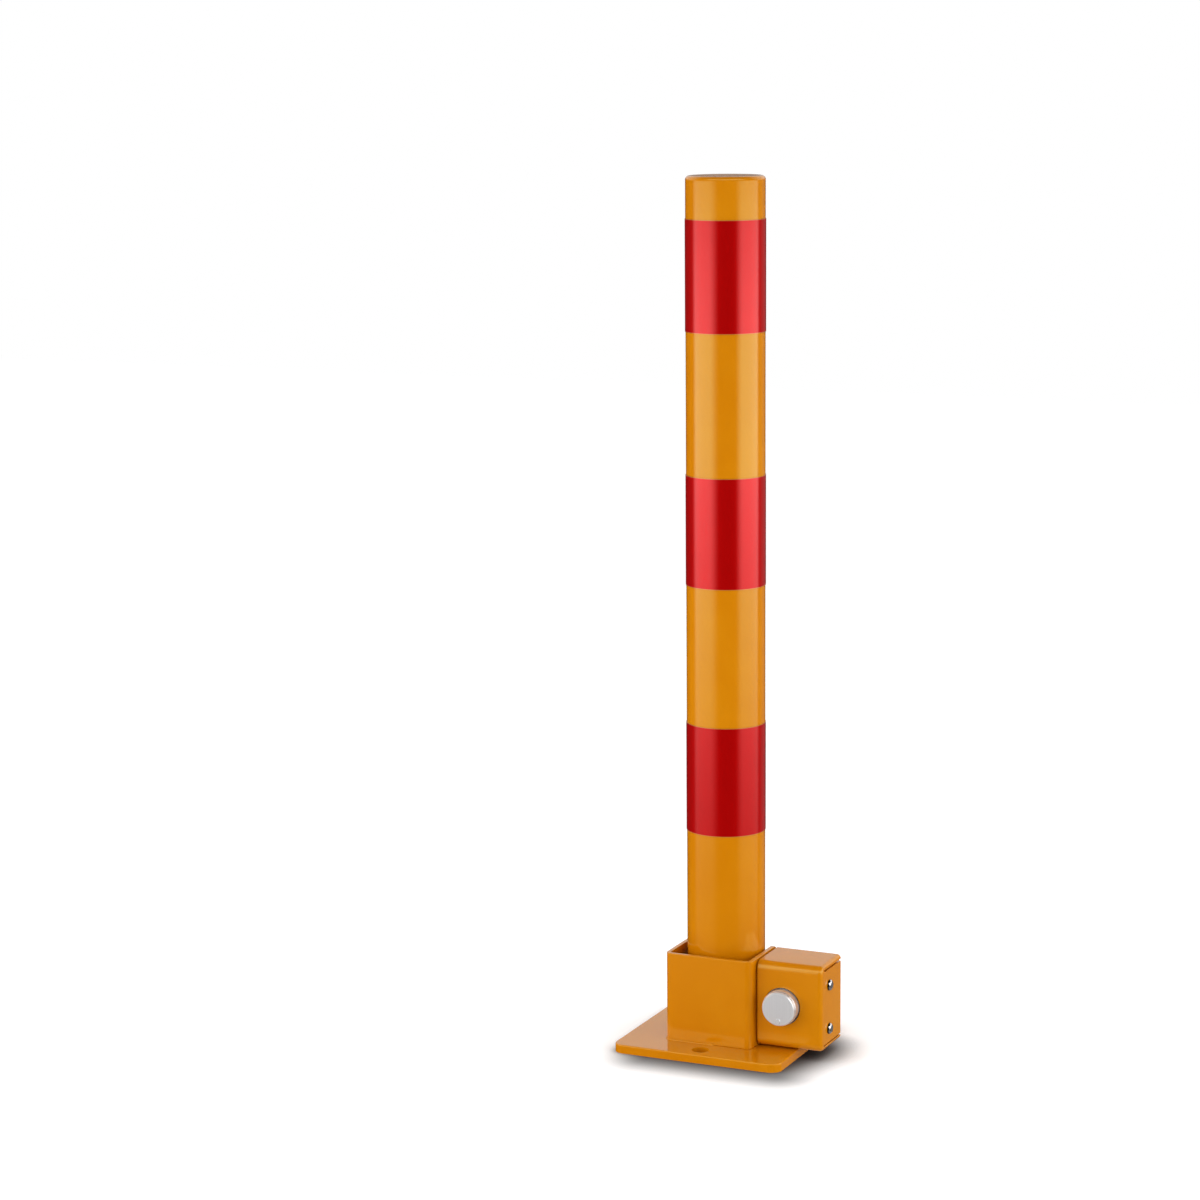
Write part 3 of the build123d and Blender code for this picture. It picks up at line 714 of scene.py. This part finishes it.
bead_paths = {
    "weld_front": [(bracket_high.x * FRONT_BEAD_SHARE, bracket_low.y), *left_corner(),
                   (bracket_low.x, bracket_low.y + CORNER_BEAD_LENGTH)],
    "weld_left": [(bracket_low.x, LEFT_BEAD_START), (bracket_low.x, bracket_high.y - LEFT_BEAD_SHORT)],
    "weld_right": [(bracket_high.x, cover_back + COVER_CLEARANCE),
                   (bracket_high.x, bracket_high.y - RIGHT_BEAD_SHORT)],
    "weld_rear": [(-REAR_BEAD_HALF, rest_back), (REAR_BEAD_HALF, rest_back)],
}
for number, (name, points) in enumerate(bead_paths.items()):
    bead = run_geometry_tree(weld_tree, path_mesh(name + "_path", points), name, {
        "Step": BEAD_STEP, "Radius": BEAD_RADIUS, "Unevenness": BEAD_UNEVENNESS,
        "Seed": FIRST_BEAD_SEED + number, "Material": paint})
    place_piece(name, bead, paint, "base")
    print(name, len(bead.polygons), "faces")

# %% [markdown]
# The spring behind the barrel is one wire: close turns at both ends so that it sits flat, and open turns
# between. A helix follows a rule, so a tree lays a straight line of points, winds each one round the axis
# by how far along it is, and sweeps a small circle along the result.

# %% Tree: a compression spring
SPRING_POINTS = 260
CLOSE_PITCH = 2.1


def make_spring_tree():
    tree, given, made = new_geometry_tree("compression_spring", [
        ("Length", FLOAT, 0.0137), ("Coil Radius", FLOAT, 0.0063), ("Wire Radius", FLOAT, 0.0005),
        ("Turns", FLOAT, 7.0), ("End Share", FLOAT, 0.13), ("Material", MATERIAL, None)])
    line = add_node(tree, "GeometryNodeMeshLine", Count=SPRING_POINTS)
    curve = add_node(tree, "GeometryNodeMeshToCurve", Mesh=line.outputs[0])
    index = tree.nodes.new("GeometryNodeInputIndex")
    share = math(tree, "DIVIDE", index.outputs[0], float(SPRING_POINTS - 1))
    angle = math(tree, "MULTIPLY", math(tree, "MULTIPLY", share, 2 * pi), given.outputs["Turns"])
    rise = tree.nodes.new("ShaderNodeMapRange")
    tree.links.new(share, rise.inputs["Value"])
    tree.links.new(given.outputs["End Share"], rise.inputs["From Min"])
    tree.links.new(math(tree, "SUBTRACT", 1.0, given.outputs["End Share"]), rise.inputs["From Max"])
    close = math(tree, "MULTIPLY", given.outputs["Wire Radius"], CLOSE_PITCH)
    open_length = math(tree, "SUBTRACT", given.outputs["Length"], math(tree, "MULTIPLY", close, 2.0))
    end_before = math(tree, "MINIMUM", math(tree, "DIVIDE", share, given.outputs["End Share"]), 1.0)
    from_end = math(tree, "DIVIDE", math(tree, "SUBTRACT", 1.0, share), given.outputs["End Share"])
    end_after = math(tree, "SUBTRACT", 1.0, math(tree, "MINIMUM", from_end, 1.0))
    height = math(tree, "MULTIPLY", rise.outputs["Result"], open_length)
    height = math(tree, "MULTIPLY_ADD", end_before, close, height)
    height = math(tree, "MULTIPLY_ADD", end_after, close, height)
    across = math(tree, "MULTIPLY", math(tree, "COSINE", angle), given.outputs["Coil Radius"])
    upward = math(tree, "MULTIPLY", math(tree, "SINE", angle), given.outputs["Coil Radius"])
    place = add_node(tree, "ShaderNodeCombineXYZ", X=across, Y=height, Z=upward)
    wound = add_node(tree, "GeometryNodeSetPosition", Geometry=curve.outputs[0], Position=place.outputs[0])
    section = add_node(tree, "GeometryNodeCurvePrimitiveCircle", Resolution=12,
                       Radius=given.outputs["Wire Radius"])
    wire = add_node(tree, "GeometryNodeCurveToMesh", Curve=wound.outputs[0],
                    **{"Profile Curve": section.outputs[0], "Fill Caps": True})
    smooth = add_node(tree, "GeometryNodeSetShadeSmooth", Geometry=wire.outputs[0])
    end_geometry_tree(tree, smooth.outputs[0], given, made)
    return tree


spring_tree = make_spring_tree()
print("tree", spring_tree.name, "made")

# %% [markdown]
# The spring stands between the barrel and the floor of its guide, where the CAD has it.

# %% The lock's return spring
WIRE_RADIUS = 0.0005
SPRING_TURNS = 7.0
SPRING_END_SHARE = 0.14
SIDE_PLAY, END_PLAY = 0.000025, 0.00001
spring_low, spring_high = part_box("lock_spring")
barrel_low, barrel_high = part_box("lock_barrel")
lock_x, lock_z = (barrel_low.x + barrel_high.x) / 2, (barrel_low.z + barrel_high.z) / 2
coil_start = WIRE_RADIUS + END_PLAY
coil_radius = (spring_high.x - spring_low.x) / 2 - WIRE_RADIUS - SIDE_PLAY
spring_span = spring_high.y - spring_low.y
coil_length = spring_span - 2 * coil_start
coil = run_geometry_tree(spring_tree, bpy.data.meshes.new("spring_base"), "return_spring", {
    "Length": coil_length, "Coil Radius": coil_radius, "Wire Radius": WIRE_RADIUS, "Turns": SPRING_TURNS,
    "End Share": SPRING_END_SHARE, "Material": spring_steel})
coil.transform(Matrix.Translation((lock_x, spring_low.y + coil_start, lock_z)))
spring_piece = place_piece("return_spring", coil, spring_steel, "base")
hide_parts("lock_spring")
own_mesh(spring_piece)
print("return spring", len(coil.polygons), "faces,", round(coil_length * 1000, 2), "mm long")

# %% [markdown]
# The floor is a plain pale sheet. The camera sees it as white, and only the object's shadow darkens it.
# A little glow of its own keeps the far floor as white as the backdrop. Close to the plate and under the
# lock box hardly any light gets in. An Ambient Occlusion node finds those places and deepens the shadow
# there. The photograph's shadow lies to the front and right of the plate, so a soft band does the same. It
# is worked out from the distance to the plate's rectangle, drawn in at the left and the back. The floor
# stays out of reflections: the paint mirrors the lamps and the dark studio, as in the photograph, where the
# front of the post shows no pale floor.

# %% Floor
FLOOR_COLOUR_SEEN = (1.0, 1.0, 1.0, 1)
FLOOR_COLOUR_CONTACT = (0.02, 0.02, 0.022, 1)
FLOOR_LIFT = 0.28
FLOOR_COLOUR_BOUNCED = (0.82, 0.82, 0.82, 1)
FLOOR_SIZE = 4.0
CONTACT_REACH = 0.03
CONTACT_DEPTH = 1.5
CONTACT_SAMPLES = 10
BAND_REACH = 0.038
BAND_DEPTH = 0.8
BAND_OUT_FRONT = 0.004
BAND_IN_LEFT, BAND_IN_BACK = 0.028, 0.045
band_low = plate_low + Vector((BAND_IN_LEFT, -BAND_OUT_FRONT, 0))
band_high = plate_high - Vector((0, BAND_IN_BACK, 0))


def distance_outside(tree, coordinate, low, high):
    """How far a coordinate lies beyond a span, and zero inside it."""
    from_middle = math(tree, "ABSOLUTE", math(tree, "SUBTRACT", coordinate, (low + high) / 2))
    return math(tree, "MAXIMUM", math(tree, "SUBTRACT", from_middle, (high - low) / 2), 0.0)


def make_floor():
    work = bmesh.new()
    bmesh.ops.create_grid(work, x_segments=1, y_segments=1, size=FLOOR_SIZE)
    mesh = bpy.data.meshes.new("floor")
    work.to_mesh(mesh)
    work.free()
    floor = bpy.data.objects.new("floor", mesh)
    bpy.context.scene.collection.objects.link(floor)
    material = bpy.data.materials.new("floor_sheet")
    material.use_nodes = True
    tree = material.node_tree
    shader = tree.nodes["Principled BSDF"]
    shader.inputs["Roughness"].default_value = 1.0
    shader.inputs["Specular IOR Level"].default_value = 0.0
    rays = tree.nodes.new("ShaderNodeLightPath")
    seen = rays.outputs["Is Camera Ray"]
    crevice = add_node(tree, "ShaderNodeAmbientOcclusion", Distance=CONTACT_REACH)
    crevice.samples = CONTACT_SAMPLES
    place = tree.nodes.new("ShaderNodeTexCoord")
    spot = add_node(tree, "ShaderNodeSeparateXYZ", Vector=place.outputs["Object"])
    beyond_x = distance_outside(tree, spot.outputs[0], band_low.x, band_high.x)
    beyond_y = distance_outside(tree, spot.outputs[1], band_low.y, band_high.y)
    square = math(tree, "MULTIPLY_ADD", beyond_x, beyond_x, math(tree, "MULTIPLY", beyond_y, beyond_y))
    clear = soft_step(tree, math(tree, "SQRT", square), 0.0, BAND_REACH)
    past_band = math(tree, "MULTIPLY_ADD", clear, BAND_DEPTH, 1.0 - BAND_DEPTH)
    crevices = math(tree, "POWER", crevice.outputs["AO"], CONTACT_DEPTH)
    openness = math(tree, "MULTIPLY", crevices, past_band)
    seen_colour = blend_colours(tree, openness, FLOOR_COLOUR_CONTACT, FLOOR_COLOUR_SEEN)
    colour = blend_colours(tree, seen, FLOOR_COLOUR_BOUNCED, seen_colour)
    tree.links.new(colour, shader.inputs["Base Color"])
    shader.inputs["Emission Color"].default_value = (1, 1, 1, 1)
    lift = math(tree, "MULTIPLY", math(tree, "MULTIPLY", seen, FLOOR_LIFT), openness)
    tree.links.new(lift, shader.inputs["Emission Strength"])
    mesh.materials.append(material)
    floor.visible_glossy = False
    return floor


make_floor()
print("floor made")

# %% [markdown]
# The camera was found by fitting about sixty edge points of the photograph with the height held at
# 600 mm. It stands to the right of the lock's front, a little above the top of the post, and looks down.

# %% Camera
CAMERA_DISTANCE = 2.19108
CAMERA_HEIGHT = 0.69015
CAMERA_YAW = radians(22.3872)
CAMERA_PAN = radians(2.2502)
CAMERA_PITCH = radians(9.7854)
CAMERA_ROLL = radians(-0.4538)
CAMERA_LENS = 97.522
SENSOR_WIDTH = 36.0


def make_camera():
    turn = CAMERA_YAW + CAMERA_PAN
    forward = Vector((-sin(turn) * cos(CAMERA_PITCH), cos(turn) * cos(CAMERA_PITCH), -sin(CAMERA_PITCH)))
    right = Vector((cos(turn), sin(turn), 0))
    up = right.cross(forward)
    rolled_right = right * cos(CAMERA_ROLL) + up * sin(CAMERA_ROLL)
    rolled_up = up * cos(CAMERA_ROLL) - right * sin(CAMERA_ROLL)
    place = Vector((CAMERA_DISTANCE * sin(CAMERA_YAW), -CAMERA_DISTANCE * cos(CAMERA_YAW), CAMERA_HEIGHT))
    data = bpy.data.cameras.new("camera")
    data.lens = CAMERA_LENS
    data.sensor_width = SENSOR_WIDTH
    data.sensor_fit = "HORIZONTAL"
    camera = bpy.data.objects.new("camera", data)
    turned = Matrix((rolled_right, rolled_up, -forward)).transposed().to_4x4()
    camera.matrix_world = Matrix.Translation(place) @ turned
    bpy.context.scene.collection.objects.link(camera)
    bpy.context.scene.camera = camera
    return camera


make_camera()
print("camera at", CAMERA_DISTANCE, "m")

# %% [markdown]
# Two tall soft lamps stand about a metre from the post, left and right of the camera's view, and the
# studio between them is dark. That gives the post its two pale upright stripes with a plain orange
# stripe between. Each lamp is a curved sheet of light, brightest in its middle, so its reflection fades
# at the rims as a real softbox's does. The camera doesn't see the sheets, they cast no shadow, and the
# world's light passes through them.

# %% Lamps
LAMP_DISTANCE = 1.1
LAMP_LOW, LAMP_HIGH = -0.45, 0.85
LAMP_RISE = (-0.35, 0.28)
LAMP_RISE_POWER = 1.5
LAMP_FALL = (0.40, 0.75)
LAMPS = {
    "lamp_left": dict(first_angle=-108, last_angle=-18, strength=2.5, fade_in=0.18, fade_out=0.34),
    "lamp_right": dict(first_angle=27, last_angle=111, strength=2.6, fade_in=0.27, fade_out=0.14),
}


def make_lamp(name, first_angle, last_angle, strength, fade_in, fade_out, steps=36):
    """A sheet of light on an arc round the post. Angles are degrees to the right of the camera.
    The fades are the shares of its width over which the light rises at one rim and falls at the other."""
    mesh = bpy.data.meshes.new(name)
    points, faces = [], []
    for i in range(steps + 1):
        a = radians(first_angle + (last_angle - first_angle) * i / steps) + CAMERA_YAW
        for z in (LAMP_LOW, LAMP_HIGH):
            points.append((LAMP_DISTANCE * sin(a), -LAMP_DISTANCE * cos(a), z))
    for i in range(steps):
        faces.append((2 * i, 2 * i + 1, 2 * i + 3, 2 * i + 2))
    mesh.from_pydata(points, [], faces)
    uv = mesh.uv_layers.new(name="across")
    for loop in mesh.loops:
        uv.data[loop.index].uv = ((loop.vertex_index // 2) / steps, loop.vertex_index % 2)
    material = bpy.data.materials.new(name + "_light")
    material.use_nodes = True
    tree = material.node_tree
    tree.nodes.clear()
    place = tree.nodes.new("ShaderNodeTexCoord")
    height = add_node(tree, "ShaderNodeSeparateXYZ", Vector=place.outputs["Object"]).outputs[2]
    across = add_node(tree, "ShaderNodeSeparateXYZ", Vector=place.outputs["UV"]).outputs[0]
    rise = add_node(tree, "ShaderNodeMapRange", Value=height, From_Min=LAMP_RISE[0], From_Max=LAMP_RISE[1])
    below = math(tree, "POWER", rise.outputs["Result"], LAMP_RISE_POWER)
    above = math(tree, "SUBTRACT", 1.0, soft_step(tree, height, *LAMP_FALL))
    rims = math(tree, "MULTIPLY", soft_step(tree, across, 0.0, fade_in),
                math(tree, "SUBTRACT", 1.0, soft_step(tree, across, 1.0 - fade_out, 1.0)))
    glow = math(tree, "MULTIPLY", math(tree, "MULTIPLY", below, above), rims)
    emission = add_node(tree, "ShaderNodeEmission", Strength=math(tree, "MULTIPLY", glow, strength))
    clear = tree.nodes.new("ShaderNodeBsdfTransparent")
    sheet = tree.nodes.new("ShaderNodeAddShader")
    tree.links.new(emission.outputs[0], sheet.inputs[0])
    tree.links.new(clear.outputs[0], sheet.inputs[1])
    output = tree.nodes.new("ShaderNodeOutputMaterial")
    tree.links.new(sheet.outputs[0], output.inputs["Surface"])
    mesh.materials.append(material)
    lamp = bpy.data.objects.new(name, mesh)
    bpy.context.scene.collection.objects.link(lamp)
    lamp.visible_camera = False
    lamp.visible_shadow = False
    return lamp


for name, measures in LAMPS.items():
    make_lamp(name, **measures)
print(len(LAMPS), "lamps made")

# %% [markdown]
# The world fills the shadows evenly, a little less from straight above, and gives the camera its white
# background. Shiny surfaces see a studio instead of an even white: the pale backdrop behind the object,
# the table below and at the far right, a soft light high up behind the camera, and a dark room for the
# rest. Each of them is a soft step of a ray's direction: away from the camera, aside to its right, or up.
# The view transform is Standard, so that a colour renders as it is written.

# %% World
FILL_LIGHT = 0.89
CEILING_SHADE = 0.36
BACKDROP_LIGHT = 0.92
TABLE_LIGHT = 0.16
NEAR_TABLE_LIGHT = 0.22
FRONT_LIGHT = 2.5
DARK_ROOM = 0.01
CEILING_UP = (0.6, 0.85)
BACKDROP_AWAY, BACKDROP_UP = (-0.1, 0.35), (0.0, 0.18)
FRONT_TOWARDS, FRONT_UP = (0.2, 0.6), (0.33, 0.55)
FAR_TABLE_AWAY, FAR_TABLE_ASIDE = (0.3, 0.65), (0.3, 0.6)
NEAR_TABLE_DOWN = (0.33, 0.6)


def make_world():
    world = bpy.data.worlds.new("studio")
    bpy.context.scene.world = world
    world.use_nodes = True
    tree = world.node_tree
    background = tree.nodes["Background"]
    background.inputs["Color"].default_value = (1, 1, 1, 1)
    rays = tree.nodes.new("ShaderNodeLightPath")
    way = add_node(tree, "ShaderNodeSeparateXYZ",
                   Vector=tree.nodes.new("ShaderNodeTexCoord").outputs["Generated"])
    x, y, up = way.outputs
    away = math(tree, "MULTIPLY_ADD", y, cos(CAMERA_YAW), math(tree, "MULTIPLY", x, -sin(CAMERA_YAW)))
    aside = math(tree, "MULTIPLY_ADD", x, cos(CAMERA_YAW), math(tree, "MULTIPLY", y, sin(CAMERA_YAW)))
    towards = math(tree, "MULTIPLY", away, -1.0)
    down = math(tree, "MULTIPLY", up, -1.0)
    ceiling = soft_step(tree, up, *CEILING_UP)
    below_ceiling = math(tree, "SUBTRACT", 1.0, ceiling)
    pale = math(tree, "MULTIPLY", soft_step(tree, away, *BACKDROP_AWAY), soft_step(tree, up, *BACKDROP_UP))
    pale = math(tree, "MULTIPLY", pale, below_ceiling)
    high_up = math(tree, "MULTIPLY", soft_step(tree, up, *FRONT_UP), below_ceiling)
    front = math(tree, "MULTIPLY", soft_step(tree, towards, *FRONT_TOWARDS), high_up)
    front = math(tree, "MULTIPLY", front, FRONT_LIGHT)
    far_table = math(tree, "MULTIPLY", soft_step(tree, away, *FAR_TABLE_AWAY),
                     soft_step(tree, aside, *FAR_TABLE_ASIDE))
    near_table = soft_step(tree, down, *NEAR_TABLE_DOWN)
    table = math(tree, "MULTIPLY_ADD", near_table, NEAR_TABLE_LIGHT,
                 math(tree, "MULTIPLY", far_table, TABLE_LIGHT))
    mirrored = math(tree, "MULTIPLY_ADD", pale, BACKDROP_LIGHT - DARK_ROOM, DARK_ROOM)
    mirrored = math(tree, "ADD", mirrored, math(tree, "ADD", table, front))
    fill = math(tree, "MULTIPLY_ADD", ceiling, -FILL_LIGHT * CEILING_SHADE, FILL_LIGHT)
    shiny = math(tree, "MAXIMUM", rays.outputs["Is Glossy Ray"], rays.outputs["Is Transmission Ray"])
    level = blend_values(tree, shiny, fill, mirrored)
    seen = blend_values(tree, rays.outputs["Is Camera Ray"], level, 1.0)
    tree.links.new(seen, background.inputs["Strength"])
    return world


make_world()
bpy.context.scene.view_settings.view_transform = "Standard"
print("world made")
